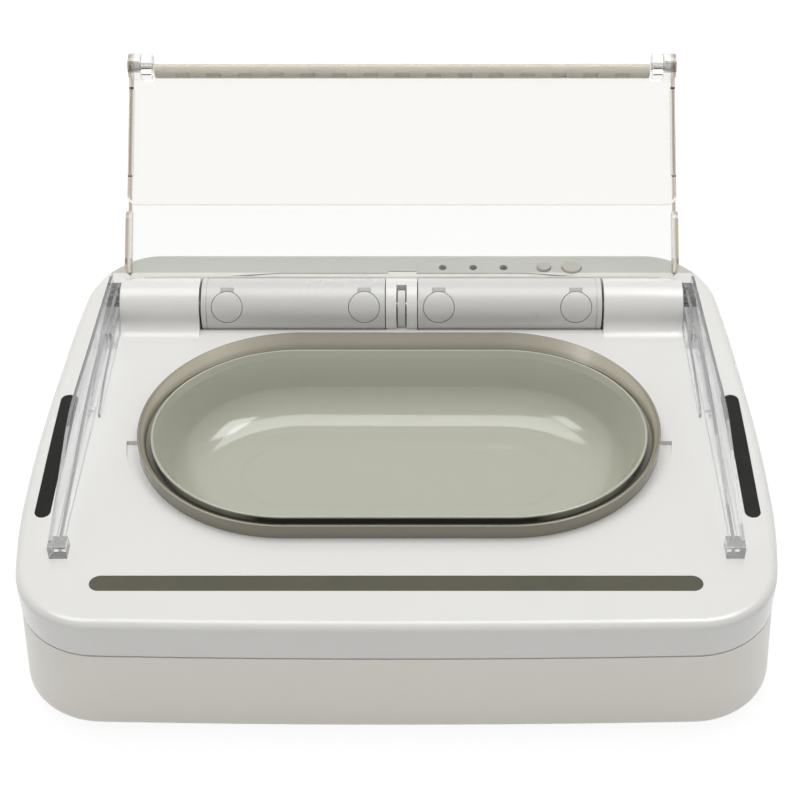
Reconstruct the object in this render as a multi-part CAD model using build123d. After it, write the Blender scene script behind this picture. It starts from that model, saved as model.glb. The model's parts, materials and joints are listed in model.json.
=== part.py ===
"""Automatic pet feeder with a folding clear lid that opens for one tagged animal.

Units are millimetres.  +X runs to the user's right, -Y is the front, +Z is up and the feet stand on
z = 0.  Every piece is drawn with the middle of the case at y = 0 and the lid open.  The export moves
all of them together, so that the middle of the whole assembly lies over the origin.
"""
import os
from math import acos, cos, pi, radians, sin, sqrt, tan

from build123d import *

# ---- case ----------------------------------------------------------------------------------------
CASE_WIDTH = 337.0
CASE_DEPTH = 260.0
FRONT_CORNER = 38.5
REAR_CORNER = 45.0
FRONT_BOW = 2.5
REAR_BOW = 5.0
WIDEST_Y = -50.0
SIDE_FRONT_R = 265.0
SIDE_REAR_R = 1200.0
FLARE = 3.5
WALL = 2.5
FOOT_HEIGHT = 2.0
SEAM_Z = 49.0
SEAM_GAP = 0.9
DECK_Z = 68.0
DECK_THICK = 3.0
DECK_UNDER = DECK_Z - DECK_THICK
EDGE_ROUND = 4.0
BASE_ROUND = 5.0
RECESS_HALF = 151.0
SHOULDER_START_Y = -88.0
SHOULDER_MID = (-20.0, 4.4)
SHOULDER_HIGH = (36.0, 7.4)
SHOULDER_CREST = (92.0, 11.5)
SHOULDER_REAR = (123.0, 10.0)
SHOULDER_END = (140.0, -10.0)
REAR_DECK_RISE = 10.0
REAR_DECK_Z = DECK_Z + REAR_DECK_RISE

# ---- lid hinge -----------------------------------------------------------------------------------
HINGE_Y = 86.5
HINGE_Z = DECK_Z + 5.0
BARREL_R = 14.0
BARREL_GAP = 0.6
BARREL_IN = 8.3
BARREL_OUT = 101.5
OPENING_HALF = 102.5
NOSE_HALF = 142.4
NOSE_FILLET = 8.0
NOSE_WALL = 2.0
CENTRE_HALF = 7.9
CENTRE_SLOT_HALF = 2.6
CENTRE_WEB_HALF = 1.9
CENTRE_WEB_R = 12.8
CENTRE_SLOT_END = -1.2
CENTRE_WEB_END = -3.6
TROUGH_WALL = 2.0
SHAFT_R = 3.0
RUNNING_FIT = 0.05
BUSH_R = 5.0
BUSH_LENGTH = 4.5

# ---- lid -----------------------------------------------------------------------------------------
LID_OPEN = 45.0
PIN_DISTANCE = 125.4
LID_HALF = 141.8
PANEL_IN = 3.5
PANEL_THICK = 2.5
PANEL_OUT = PANEL_IN + PANEL_THICK
PANEL_START = 14.8
FLANGE_S = (17.0, 49.0)
TAB_IN = 9.5
TAB_OUT = 98.0
TAB_START = 1.2
KNUCKLE_R = 6.75
KNUCKLE_CLEAR = 0.55
OUTER_KNUCKLE = (135.6, 141.8)
INNER_KNUCKLE = (129.9, 134.9)
PIN_R = 2.0
FLAP_LENGTH = 74.0
FLAP_HALF = 141.0
STRIP_HALF = 128.5
STRIP_R = 3.1
STRIP_DROP = 2.3
PLUG_ANGLE = 147.0
PLUG_X = (18.9, 88.3)
PLUG_R = 7.7
PLUG_POCKET_R = 8.0
PLUG_SEAT = 9.0
PLUG_NOTCH = (6.8, 1.8)

# ---- bowl and collar -----------------------------------------------------------------------------
BOWL_Y = -8.5
BOWL_HALF_LENGTH = 116.5
BOWL_HALF_WIDTH = 60.0
BOWL_STRAIGHT = 50.0
BOWL_RIM_Z = DECK_Z + 4.1
BOWL_RIM_THICK = 3.4
BOWL_RIM_LAND = 1.5
BOWL_LIP = 1.2
BOWL_TAPER = 13.0
BOWL_DEPTH = 31.6
BOWL_WALL = 1.3
BOWL_CORNER = 21.0
COLLAR_Y = BOWL_Y + 0.5
COLLAR_HALF_LENGTH = 122.3
COLLAR_HALF_WIDTH = 69.4
COLLAR_HEIGHT = 7.2
COLLAR_WALL = 0.8
RIM_GAP = 2.4
FUNNEL_FOOT = 1.4
WELL_GAP = 0.6
WELL_WALL = 1.8
SCOOP_WIDTH = 5.7
SCOOP_DEPTH = 2.0
SCOOP_Y = (-62.0, -13.0)

# ---- side walls and windows ----------------------------------------------------------------------
SIDE_WALL_IN = 142.7
SIDE_WALL_OUT = 150.7
SIDE_WALL_SKIN = 1.5
SIDE_WALL_TOP = ((99.0, 14.5), (79.0, 16.2), (9.0, 21.9), (-20.0, 23.0), (-43.0, 18.0), (-65.0, 12.0),
                 (-86.0, 7.0))
SIDE_RAIL_TOP = ((97.0, 11.0), (80.0, 12.0), (9.0, 15.5), (-43.0, 9.0), (-84.0, 4.5))
SIDE_RAIL_IN = 145.6
SIDE_RIB_TOP = ((97.0, 8.5), (60.0, 8.5), (30.0, 6.5), (4.0, 2.0))
REAR_BLOCK_Y = (92.0, 99.0)
REAR_BLOCK_TOP = 7.0
END_BLOCK_Y = (-90.0, -82.0)
END_BLOCK_TOP = 6.5
STOP_BLOCK_Y = (57.0, 67.0)
STOP_BLOCK_TOP = 9.5
GUARD_PEG = (1.6, 6.8, 1.3)
FRONT_WINDOW = (262.0, 9.0)
FRONT_WINDOW_Y = -104.5
SIDE_WINDOW = (79.0, 7.2)
SIDE_WINDOW_X = 158.3
SIDE_WINDOW_Y = -25.8
WINDOW_SINK = 0.25
WINDOW_SKIN = 1.5

# ---- controls ------------------------------------------------------------------------------------
CONTROL_Y = 112.6
LENS_X = (21.0, 37.0, 53.0)
LENS_R = 2.0
SMALL_BUTTON = (74.0, 3.5)
LARGE_BUTTON = (88.5, 5.0)
BUTTON_GAP = 0.3
BUTTON_TRAVEL = 0.8

# ---- drive ---------------------------------------------------------------------------------------
GEAR_MODULE = 0.8
PRESSURE_ANGLE = 20.0
ADDENDUM = 0.8
DEDENDUM = 1.0
TOOTH_THINNING = 0.06
HUB_TEETH = 26
PINION_TEETH = 14
WHEEL_TEETH = 40
FIRST_STAGE_X = (108.0, 112.0)
SECOND_STAGE_X = (114.0, 118.0)
FIRST_STAGE_ANGLE = -70.0
SECOND_STAGE_ANGLE = -106.0
MOTOR_R = 12.0
MOTOR_X = (70.0, 112.0)

# ---- power ---------------------------------------------------------------------------------------
CELL_R = 13.0
CELL_LENGTH = 50.0
BOX_X = (-105.0, 5.0)
BOX_Y = (60.0, 115.0)
BOX_ROOF = 34.5
BOX_WALL = 1.5
DOOR_THICK = 1.6
DOOR_GAP = 0.3
DOOR_TRAVEL = 10.0
DOOR_TONGUE = 1.5

CASE_SCREWS = ((-132.0, -84.0), (132.0, -84.0), (-140.0, 60.0), (140.0, 60.0))
FEET = ((-125.0, -95.0), (125.0, -95.0), (-140.0, 78.0), (140.0, 78.0))
FOOT_R = 8.0
FOOT_SEAT = 3.2
SCREW_HEAD_TOP = 7.0
MAIN_BOARD_X = (14.0, 62.0)
MAIN_BOARD_Y = (66.0, 118.0)
MAIN_BOARD_Z = (10.0, 11.6)
CONTROL_BOARD_Z = (66.0, 67.6)
SENSOR_BOARD_Z = (57.4, 59.0)
BOSS_R = 4.5
SCREW_R = 1.5
SCREW_HEAD_R = 3.0

FLOOR_TOP = FOOT_HEIGHT + WALL
CELL_Z = FLOOR_TOP + 1.7 + CELL_R
CELL_Y = ((BOX_Y[0] + BOX_Y[1]) / 2 - CELL_R - 0.3, (BOX_Y[0] + BOX_Y[1]) / 2 + CELL_R + 0.3)
LID_REAR_Y = HINGE_Y + PIN_DISTANCE * cos(radians(LID_OPEN)) + KNUCKLE_R
FRAME_SHIFT = (CASE_DEPTH / 2 - LID_REAR_Y) / 2


# ---- helpers -------------------------------------------------------------------------------------
def block(x, y, z):
    """A box from three (low, high) pairs."""
    size = [high - low for low, high in (x, y, z)]
    middle = [(high + low) / 2 for low, high in (x, y, z)]
    return Pos(*middle) * Box(*size)


def bar(radius, x, y, z):
    """A round bar along X between the two values in x."""
    return Pos((x[0] + x[1]) / 2, y, z) * Rot(0, 90, 0) * Cylinder(radius, x[1] - x[0])


def post(radius, x, y, z):
    """A round upright between the two heights in z."""
    return Pos(x, y, (z[0] + z[1]) / 2) * Cylinder(radius, z[1] - z[0])


def prism(face, x):
    """A face drawn as (y, z), carried along X between the two values in x."""
    return extrude(Plane.YZ.offset(x[0]) * face, amount=x[1] - x[0])


def slab(face, z):
    """A face drawn as (x, y), carried up between the two heights in z."""
    return extrude(Pos(0, 0, z[0]) * face, amount=z[1] - z[0])


def pair(part):
    """The part together with its mirror image in the middle plane."""
    return part + mirror(part, Plane.YZ)


def joined(parts):
    """All the given solids as one part."""
    whole = parts[0]
    for part in parts[1:]:
        whole = whole + part
    return whole


def stadium(half_length, half_width, straight, middle_y=BOWL_Y):
    """Plan with straight long sides and half-ellipse ends, centred on the bowl unless told otherwise."""
    end = half_length - straight
    edges = [
        Line((-straight, -half_width), (straight, -half_width)),
        EllipticalCenterArc((straight, 0), end, half_width, start_angle=-90, arc_size=180),
        Line((straight, half_width), (-straight, half_width)),
        EllipticalCenterArc((-straight, 0), end, half_width, start_angle=90, arc_size=180),
    ]
    return Pos(0, middle_y) * make_face(edges)


def round_slot(size, x, y, inset, turned=False):
    """A long plan with round ends, drawn smaller all round by the inset."""
    length = size[0] - 2 * inset
    width = size[1] - 2 * inset
    return Pos(x, y) * Rot(0, 0, 90 if turned else 0) * SlotOverall(length, width)


def case_plan(inset=0.0, widen=0.0):
    """Plan of the case: widest near the front, with bowed sides and rounded corners."""
    half = CASE_WIDTH / 2 + widen - inset
    front = -CASE_DEPTH / 2 + FRONT_BOW + inset
    rear = CASE_DEPTH / 2 - REAR_BOW - inset
    front_r = SIDE_FRONT_R - inset
    rear_r = SIDE_REAR_R - inset

    def side(radius, y):
        return half - radius + sqrt(radius ** 2 - (y - WIDEST_Y) ** 2)

    front_mid = (WIDEST_Y + front) / 2
    rear_mid = (WIDEST_Y + rear) / 2
    x_front = side(front_r, front)
    x_rear = side(rear_r, rear)
    edges = [
        ThreePointArc((-x_front, front), (0, front - FRONT_BOW), (x_front, front)),
        ThreePointArc((x_rear, rear), (0, rear + REAR_BOW), (-x_rear, rear)),
    ]
    for turn in (1, -1):
        edges.append(ThreePointArc((turn * x_front, front), (turn * side(front_r, front_mid), front_mid),
                                   (turn * half, WIDEST_Y)))
        edges.append(ThreePointArc((turn * half, WIDEST_Y), (turn * side(rear_r, rear_mid), rear_mid),
                                   (turn * x_rear, rear)))
    face = make_face(edges)
    face = fillet(face.vertices().filter_by(lambda v: v.Y < front + 2), FRONT_CORNER - inset)
    return fillet(face.vertices().filter_by(lambda v: v.Y > rear - 2), REAR_CORNER - inset)


def under_shoulders(drop):
    """Everything below the side view of the case's top, lowered by the drop."""
    top = DECK_Z - drop
    start = (SHOULDER_START_Y, top)
    mid, high, crest, rear, end = [
        (y, top + rise)
        for y, rise in (SHOULDER_MID, SHOULDER_HIGH, SHOULDER_CREST, SHOULDER_REAR, SHOULDER_END)
    ]
    outline = [
        Line((-CASE_DEPTH, SEAM_Z), (-CASE_DEPTH, top)),
        Line((-CASE_DEPTH, top), start),
        Spline(start, mid, high, crest, tangents=[(1, 0), (1, 0)]),
        Spline(crest, rear, end, tangents=[(1, 0), (0.5, -1)]),
        Line(end, (end[0], SEAM_Z)),
        Line((end[0], SEAM_Z), (-CASE_DEPTH, SEAM_Z)),
    ]
    return prism(make_face(outline), (-CASE_WIDTH, CASE_WIDTH))


# ---- case ----------------------------------------------------------------------------------------
def nose_face(radius, foot_z):
    """Side view of the fixed hinge nose: round top, hollow sweep down to the deck in front."""
    reach = radius + NOSE_FILLET
    sweep_z = DECK_Z + NOSE_FILLET
    sweep_y = HINGE_Y - sqrt(reach ** 2 - (sweep_z - HINGE_Z) ** 2)
    part_way = radius / reach
    meet = (HINGE_Y + (sweep_y - HINGE_Y) * part_way, HINGE_Z + (sweep_z - HINGE_Z) * part_way)
    rear = (HINGE_Y + sqrt(radius ** 2 - (REAR_DECK_Z - HINGE_Z) ** 2), REAR_DECK_Z)
    lean = (meet[0] - sweep_y) / NOSE_FILLET / 2
    part_up = (sweep_y + NOSE_FILLET * lean, sweep_z - NOSE_FILLET * sqrt(1 - lean ** 2))
    outline = [
        ThreePointArc((sweep_y, DECK_Z), part_up, meet),
        ThreePointArc(meet, (HINGE_Y, HINGE_Z + radius), rear),
        Line(rear, (rear[0] + 3.0, REAR_DECK_Z)),
        Line((rear[0] + 3.0, REAR_DECK_Z), (rear[0] + 3.0, foot_z)),
        Line((rear[0] + 3.0, foot_z), (sweep_y, foot_z)),
        Line((sweep_y, foot_z), (sweep_y, DECK_Z)),
    ]
    return make_face(outline)


def hinge_zone_cuts():
    """Room for the two barrel halves, the hollow noses and the gears in the right one."""
    barrel = bar(BARREL_R + BARREL_GAP, (CENTRE_HALF, OPENING_HALF), HINGE_Y, HINGE_Z)
    hollow = bar(BARREL_R - NOSE_WALL, (OPENING_HALF + WALL, NOSE_HALF - WALL), HINGE_Y, HINGE_Z)
    wheel_y, wheel_z = gear_centre(FIRST_STAGE_ANGLE, HUB_TEETH, PINION_TEETH, (HINGE_Y, HINGE_Z))
    wheel_room = GEAR_MODULE * (WHEEL_TEETH / 2 + ADDENDUM) + 0.7
    wheel = bar(wheel_room, (SECOND_STAGE_X[0] - 0.8, SECOND_STAGE_X[1] + 0.8), wheel_y, wheel_z)
    pinion_room = GEAR_MODULE * (PINION_TEETH / 2 + ADDENDUM) + 0.7
    pinion = bar(pinion_room, (FIRST_STAGE_X[0] - 0.4, SECOND_STAGE_X[0]), wheel_y, wheel_z)
    bush = bar(BUSH_R, (OPENING_HALF - 1, OPENING_HALF + BUSH_LENGTH + 2), HINGE_Y, HINGE_Z)
    return pair(barrel + hollow + bush) + wheel + pinion


def hinge_trough():
    """The half tube under the barrel that keeps food and water out of the case."""
    length = (-OPENING_HALF - WALL, OPENING_HALF + WALL)
    outer = BARREL_R + BARREL_GAP + TROUGH_WALL
    tube = bar(outer, length, HINGE_Y, HINGE_Z)
    tube = tube - bar(BARREL_R + BARREL_GAP, (-OPENING_HALF, OPENING_HALF), HINGE_Y, HINGE_Z)
    front = block(length, (HINGE_Y - outer, HINGE_Y), (HINGE_Z - outer, DECK_Z))
    rear = block(length, (HINGE_Y, HINGE_Y + outer), (HINGE_Z - outer, REAR_DECK_Z))
    return tube & (front + rear)


def centre_block():
    """The fixed block between the barrel halves, slotted for the web."""
    length = (-CENTRE_HALF, CENTRE_HALF)
    round_part = bar(BARREL_R, length, HINGE_Y, HINGE_Z)
    foot = block(length, (HINGE_Y - BARREL_R, HINGE_Y + BARREL_R), (HINGE_Z - BARREL_R - 1.5, DECK_Z))
    back = block(length, (HINGE_Y, HINGE_Y + BARREL_R + 3), (DECK_Z - 2, REAR_DECK_Z))
    rear_pad = block((-7.4, 7.4), (HINGE_Y + BARREL_R - 2, 118.0), (REAR_DECK_Z - 2, REAR_DECK_Z + 1.2))
    rear_pad = fillet(rear_pad.edges().filter_by(Axis.Z).group_by(Axis.Y)[-1], 2.0)
    slot = block((-CENTRE_SLOT_HALF, CENTRE_SLOT_HALF), (HINGE_Y - 20, HINGE_Y + CENTRE_SLOT_END),
                 (DECK_Z, HINGE_Z + 20))
    bore = bar(SHAFT_R + RUNNING_FIT, (-CENTRE_HALF - 1, CENTRE_HALF + 1), HINGE_Y, HINGE_Z)
    return round_part + foot + back + rear_pad - slot - bore


def recess_rear():
    """Where the recess between the shoulders ends and the rear deck begins."""
    return HINGE_Y + sqrt(BARREL_R ** 2 - (REAR_DECK_Z - HINGE_Z) ** 2)


def deck_keep():
    """The region below the deck's inner face, where the case stays solid above it."""
    half = RECESS_HALF + WALL
    rear_wall = recess_rear() + WALL
    front = block((-half, half), (-CASE_DEPTH, rear_wall), (DECK_UNDER, DECK_Z + 60))
    rear = block((-half, half), (rear_wall - 1, CASE_DEPTH), (REAR_DECK_Z - DECK_THICK, DECK_Z + 60))
    return front + rear


def finger_scoops():
    """Shallow ledges beside the front half of the collar's ends, sloping up to the deck at the front."""
    front, rear = SCOOP_Y
    depth = make_face(Polyline((rear, DECK_Z - SCOOP_DEPTH), (front, DECK_Z), (front, DECK_Z + 2),
                               (rear, DECK_Z + 2), close=True))
    wedge = prism(depth, (COLLAR_HALF_LENGTH / 2, COLLAR_HALF_LENGTH + 10))
    around = slab(collar_plan(-SCOOP_WIDTH), (DECK_UNDER, DECK_Z + 2))
    return pair((wedge & around) - slab(collar_plan(0), (DECK_UNDER - 1, DECK_Z + 3)))


def window_openings():
    """The three long openings that the infrared windows fill."""
    z = (SEAM_Z + 5, REAR_DECK_Z + 20)
    front = slab(round_slot(FRONT_WINDOW, 0, FRONT_WINDOW_Y, 0), z)
    side = slab(round_slot(SIDE_WINDOW, SIDE_WINDOW_X, SIDE_WINDOW_Y, 0, True), z)
    return front + pair(side)


def control_openings():
    """Round holes in the rear deck for the lenses and the buttons."""
    z = (REAR_DECK_Z - DECK_THICK - 1, REAR_DECK_Z + 1)
    holes = [post(LENS_R, x, CONTROL_Y, z) for x in LENS_X]
    holes += [post(radius + BUTTON_GAP, x, CONTROL_Y, z) for x, radius in (SMALL_BUTTON, LARGE_BUTTON)]
    return joined(holes)


def rounded_body(inset, height, drop):
    """The upper part of the case as one solid block under the shoulder line."""
    return slab(case_plan(inset), height) & under_shoulders(drop)


def upper_shell():
    """The top of the case with deck, shoulders, hinge noses and screw posts."""
    outer = rounded_body(0, (SEAM_Z, REAR_DECK_Z + 30), 0)
    rim = [e for e in outer.edges() if e.center().Z > SEAM_Z + 5 and e.geom_type != GeomType.LINE]
    outer = fillet(rim, EDGE_ROUND)
    wall_y = recess_rear()
    recess = block((-RECESS_HALF, RECESS_HALF), (-CASE_DEPTH, wall_y), (DECK_Z, DECK_Z + 60))
    rear_deck = block((-RECESS_HALF, RECESS_HALF), (wall_y - 1, CASE_DEPTH), (REAR_DECK_Z, DECK_Z + 60))
    cavity = rounded_body(WALL, (SEAM_Z - 1, REAR_DECK_Z + 30), WALL) - deck_keep()
    shell = outer - recess - rear_deck - cavity
    nose = pair(prism(nose_face(BARREL_R, DECK_UNDER), (OPENING_HALF, NOSE_HALF)))
    bearing_boss = bar(BUSH_R + 2, (OPENING_HALF, OPENING_HALF + BUSH_LENGTH), HINGE_Y, HINGE_Z)
    shell = shell + nose + hinge_trough()
    shell = shell - hinge_zone_cuts() + centre_block()
    shell = shell + pair(bearing_boss)
    shell = shell - pair(bar(BUSH_R, (OPENING_HALF - 1, OPENING_HALF + BUSH_LENGTH + 1), HINGE_Y, HINGE_Z))
    shell = shell - slab(stadium(*well_section(0)), (DECK_UNDER - 1, DECK_Z + 1))
    shell = shell - finger_scoops() - window_openings() - control_openings()
    for x, y in CASE_SCREWS:
        shell = shell + post(BOSS_R, x, y, (SEAM_Z - 1, DECK_UNDER))
        shell = shell - post(SCREW_R, x, y, (SEAM_Z - 2, DECK_UNDER - 3))
    for x in (12.0, 98.0):
        for y in (108.5, 119.0):
            shell = shell + post(2.0, x, y, (CONTROL_BOARD_Z[1], REAR_DECK_Z - DECK_THICK))
    return shell


def seam_lip():
    """The tongue of the lower shell that stands up inside the upper shell and shows as a groove."""
    top = SEAM_Z - SEAM_GAP
    tongue = slab(case_plan(WALL), (top - 2, SEAM_Z + 2.5))
    root = slab(case_plan(WALL - 1), (top - 2, top))
    return tongue + root - slab(case_plan(WALL + 1.5), (top - 3, SEAM_Z + 3))


def door_plan(grow):
    """Low and high x and y of the battery door, grown on every side."""
    return (BOX_X[0] - 1 - grow, BOX_X[1] + 1 + grow), (BOX_Y[0] - 1 - grow, BOX_Y[1] + 1 + grow)


def lower_shell():
    """The bottom tray with screw posts, the door's track, the foot pockets and the board posts."""
    top = SEAM_Z - SEAM_GAP
    outer = loft([Pos(0, 0, FOOT_HEIGHT) * case_plan(0, FLARE), Pos(0, 0, top) * case_plan()])
    bottom = [e for e in outer.edges() if e.center().Z < FOOT_HEIGHT + 0.1]
    outer = fillet(bottom, BASE_ROUND)
    inner = loft([Pos(0, 0, FLOOR_TOP) * case_plan(WALL, FLARE), Pos(0, 0, SEAM_Z + 1) * case_plan(WALL)])
    inner = fillet([e for e in inner.edges() if e.center().Z < FLOOR_TOP + 0.1], BASE_ROUND - WALL)
    shell = outer - inner + seam_lip()
    track_x, track_y = door_plan(DOOR_GAP)
    travel_y = (track_y[0] - DOOR_TRAVEL, track_y[1])
    pad = block((track_x[0] - 3, track_x[1] + 3), (travel_y[0] - 2, BOX_Y[0] - BOX_WALL),
                (FLOOR_TOP - 0.5, FLOOR_TOP + 1.4))
    ceiling = FOOT_HEIGHT + DOOR_THICK + DOOR_GAP
    ledge = FOOT_HEIGHT + DOOR_THICK / 2 - DOOR_GAP / 2
    narrow = (track_x[0] + DOOR_TONGUE, track_x[1] - DOOR_TONGUE)
    shell = shell + pad
    shell = shell - block(track_x, travel_y, (ledge, ceiling))
    shell = shell - block(narrow, travel_y, (FOOT_HEIGHT - 1, ledge + 0.1))
    shell = shell - block(BOX_X, BOX_Y, (FOOT_HEIGHT, FLOOR_TOP + 3))
    for x, y in CASE_SCREWS:
        shell = shell + post(BOSS_R, x, y, (FLOOR_TOP - 0.5, SEAM_Z - 1))
        shell = shell - post(SCREW_R + 0.2, x, y, (0, SEAM_Z))
        shell = shell - post(SCREW_HEAD_R + 0.3, x, y, (0, SCREW_HEAD_TOP))
    for x, y in FEET:
        shell = shell + post(FOOT_R + 2, x, y, (FLOOR_TOP - 0.5, FLOOR_TOP + 1))
        shell = shell - post(FOOT_R, x, y, (0, FOOT_SEAT))
    for x, y in board_corners():
        shell = shell + post(2.6, x, y, (FLOOR_TOP - 0.5, MAIN_BOARD_Z[0]))
    return shell


# ---- bowl, well and collar -----------------------------------------------------------------------
def well_section(shrink):
    """Half length, half width and straight part of the well's mouth, drawn smaller by the shrink."""
    half_length = BOWL_HALF_LENGTH - BOWL_RIM_LAND + WELL_GAP - shrink
    half_width = BOWL_HALF_WIDTH - BOWL_RIM_LAND + WELL_GAP - shrink
    return half_length, half_width, BOWL_STRAIGHT


def cup(shrink, top, bottom, corner):
    """A tapering oval block with a rounded lower edge."""
    depth = BOWL_RIM_Z - BOWL_RIM_THICK - bottom
    lower = shrink + BOWL_TAPER * depth / BOWL_DEPTH
    foot = Pos(0, 0, bottom) * stadium(*well_section(lower))
    rim = Pos(0, 0, top) * stadium(*well_section(shrink))
    solid = loft([foot, rim])
    return fillet([e for e in solid.edges() if e.center().Z < bottom + 0.1], corner)


def food_bowl():
    """The lift-out bowl: a thin lip round a deep oval hollow that flares right up to the lip."""
    rest = BOWL_RIM_Z - BOWL_RIM_THICK
    bottom = BOWL_RIM_Z - BOWL_DEPTH
    rim = slab(stadium(BOWL_HALF_LENGTH, BOWL_HALF_WIDTH, BOWL_STRAIGHT), (rest, BOWL_RIM_Z))
    rim = fillet(rim.edges().group_by(Axis.Z)[-1], 0.6)
    body = cup(WELL_GAP, rest + 0.5, bottom, BOWL_CORNER + BOWL_WALL)
    hollow = cup(WELL_GAP + BOWL_WALL, rest + 0.2, bottom + BOWL_WALL, BOWL_CORNER)
    lip = stadium(BOWL_HALF_LENGTH - BOWL_LIP, BOWL_HALF_WIDTH - BOWL_LIP, BOWL_STRAIGHT)
    foot = stadium(*well_section(WELL_GAP + BOWL_WALL))
    flare = loft([Pos(0, 0, rest + 0.2) * foot, Pos(0, 0, BOWL_RIM_Z) * lip])
    return rim + body - hollow - flare


def bowl_well():
    """The cup under the deck that the bowl hangs in, with the flange that fixes it."""
    bottom = BOWL_RIM_Z - BOWL_DEPTH - WELL_GAP
    corner = BOWL_CORNER + BOWL_WALL + WELL_GAP
    body = cup(-WELL_WALL, DECK_UNDER, bottom - WELL_WALL, corner + WELL_WALL)
    flange = slab(stadium(*well_section(-5.0)), (DECK_UNDER - 2, DECK_UNDER))
    hollow = cup(0, DECK_UNDER + 1, bottom, corner)
    return body + flange - hollow


def collar_plan(inset):
    """Plan of the collar, drawn smaller by the inset."""
    return stadium(COLLAR_HALF_LENGTH - inset, COLLAR_HALF_WIDTH - inset, BOWL_STRAIGHT, COLLAR_Y)


def bowl_collar():
    """The raised ring round the bowl: a funnel that runs down to the ledge under the bowl's rim."""
    top = DECK_Z + COLLAR_HEIGHT
    rest = BOWL_RIM_Z - BOWL_RIM_THICK
    outer = slab(collar_plan(0), (DECK_Z, top))
    outer = fillet(outer.edges().group_by(Axis.Z)[-1], 0.4)
    seat = stadium(BOWL_HALF_LENGTH + RIM_GAP, BOWL_HALF_WIDTH + RIM_GAP, BOWL_STRAIGHT)
    funnel = loft([Pos(0, 0, rest + FUNNEL_FOOT) * seat, Pos(0, 0, top) * collar_plan(COLLAR_WALL)])
    ring = outer - funnel - slab(seat, (rest, rest + FUNNEL_FOOT))
    return ring - slab(stadium(*well_section(0)), (DECK_Z - 1, top))


def antenna_coil():
    """The flat oval winding under the deck that reads the animal's tag."""
    outer = stadium(COLLAR_HALF_LENGTH + 3.8, COLLAR_HALF_WIDTH + 4.0, BOWL_STRAIGHT)
    inner = stadium(COLLAR_HALF_LENGTH - 0.2, COLLAR_HALF_WIDTH, BOWL_STRAIGHT)
    return slab(outer, (DECK_UNDER - 4, DECK_UNDER)) - slab(inner, (DECK_UNDER - 5, DECK_UNDER + 1))


# ---- windows, sensors and side walls -------------------------------------------------------------
def front_window():
    """The long dark window in the front of the deck, hollow from below."""
    z = (SENSOR_BOARD_Z[1], DECK_Z - WINDOW_SINK)
    body = slab(round_slot(FRONT_WINDOW, 0, FRONT_WINDOW_Y, 0), z)
    return body - slab(round_slot(FRONT_WINDOW, 0, FRONT_WINDOW_Y, WINDOW_SKIN), (z[0] - 1, DECK_UNDER))


def side_window():
    """One dark window that follows the rise of the right shoulder, hollow from below."""
    z = (SENSOR_BOARD_Z[1], DECK_Z + 20)
    body = slab(round_slot(SIDE_WINDOW, SIDE_WINDOW_X, SIDE_WINDOW_Y, 0, True), z)
    body = body & under_shoulders(WINDOW_SINK)
    core = slab(round_slot(SIDE_WINDOW, SIDE_WINDOW_X, SIDE_WINDOW_Y, WINDOW_SKIN, True), (z[0] - 1, z[1]))
    return body - (core & under_shoulders(WINDOW_SINK + WALL))


def sensor_board(size, x, y, turned):
    """The narrow circuit board behind one window."""
    return slab(round_slot(size, x, y, 0, turned), SENSOR_BOARD_Z)


def infrared_emitters():
    """Small round emitters standing on the three sensor boards."""
    z = (SENSOR_BOARD_Z[1], SENSOR_BOARD_Z[1] + 2.5)
    domes = [post(1.5, x, FRONT_WINDOW_Y, z) for x in (-105.0, -63.0, -21.0, 21.0, 63.0, 105.0)]
    for side in (-1, 1):
        domes += [post(1.5, side * SIDE_WINDOW_X, SIDE_WINDOW_Y + step, z) for step in (-24.0, 0.0, 24.0)]
    return joined([fillet(dome.edges().group_by(Axis.Z)[-1], 1.0) for dome in domes])


def plate_face(top):
    """Side view of a standing plate whose upper edge runs through the (y, rise) points given."""
    points = [(y, DECK_Z + rise) for y, rise in top]
    outline = [
        Spline(*points),
        Line(points[-1], (points[-1][0], DECK_Z)),
        Line((points[-1][0], DECK_Z), (points[0][0], DECK_Z)),
        Line((points[0][0], DECK_Z), points[0]),
    ]
    return make_face(outline)


def side_wall():
    """The clear guard on the right: outer plate, middle rail and low rib, joined by three blocks."""
    skin = SIDE_WALL_SKIN
    x = (SIDE_WALL_IN, SIDE_WALL_OUT)
    outer = prism(plate_face(SIDE_WALL_TOP), (SIDE_WALL_OUT - skin, SIDE_WALL_OUT))
    rail = prism(plate_face(SIDE_RAIL_TOP), (SIDE_RAIL_IN, SIDE_RAIL_IN + skin))
    rib = prism(plate_face(SIDE_RIB_TOP), (SIDE_WALL_IN, SIDE_WALL_IN + 1.2))
    rear_block = block(x, REAR_BLOCK_Y, (DECK_Z, DECK_Z + REAR_BLOCK_TOP))
    end_block = block(x, END_BLOCK_Y, (DECK_Z, DECK_Z + END_BLOCK_TOP))
    end_block = fillet(end_block.edges().filter_by(Axis.X).group_by(Axis.Z)[-1], 1.0)
    stop = block((SIDE_WALL_IN, SIDE_RAIL_IN + 0.5), STOP_BLOCK_Y, (DECK_Z, DECK_Z + STOP_BLOCK_TOP))
    peg = bar(GUARD_PEG[2], (SIDE_RAIL_IN - 1.4, SIDE_RAIL_IN + 0.5), GUARD_PEG[0], DECK_Z + GUARD_PEG[1])
    return outer + rail + rib + rear_block + end_block + stop + peg


# ---- boards and controls -------------------------------------------------------------------------
def board_corners():
    """Middle of the four posts that carry the main board."""
    return [(x, y) for x in (MAIN_BOARD_X[0] + 3, MAIN_BOARD_X[1] - 3)
            for y in (MAIN_BOARD_Y[0] + 3, MAIN_BOARD_Y[1] - 3)]


def main_board():
    """The main circuit board on its four posts."""
    return block(MAIN_BOARD_X, MAIN_BOARD_Y, MAIN_BOARD_Z)


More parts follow.
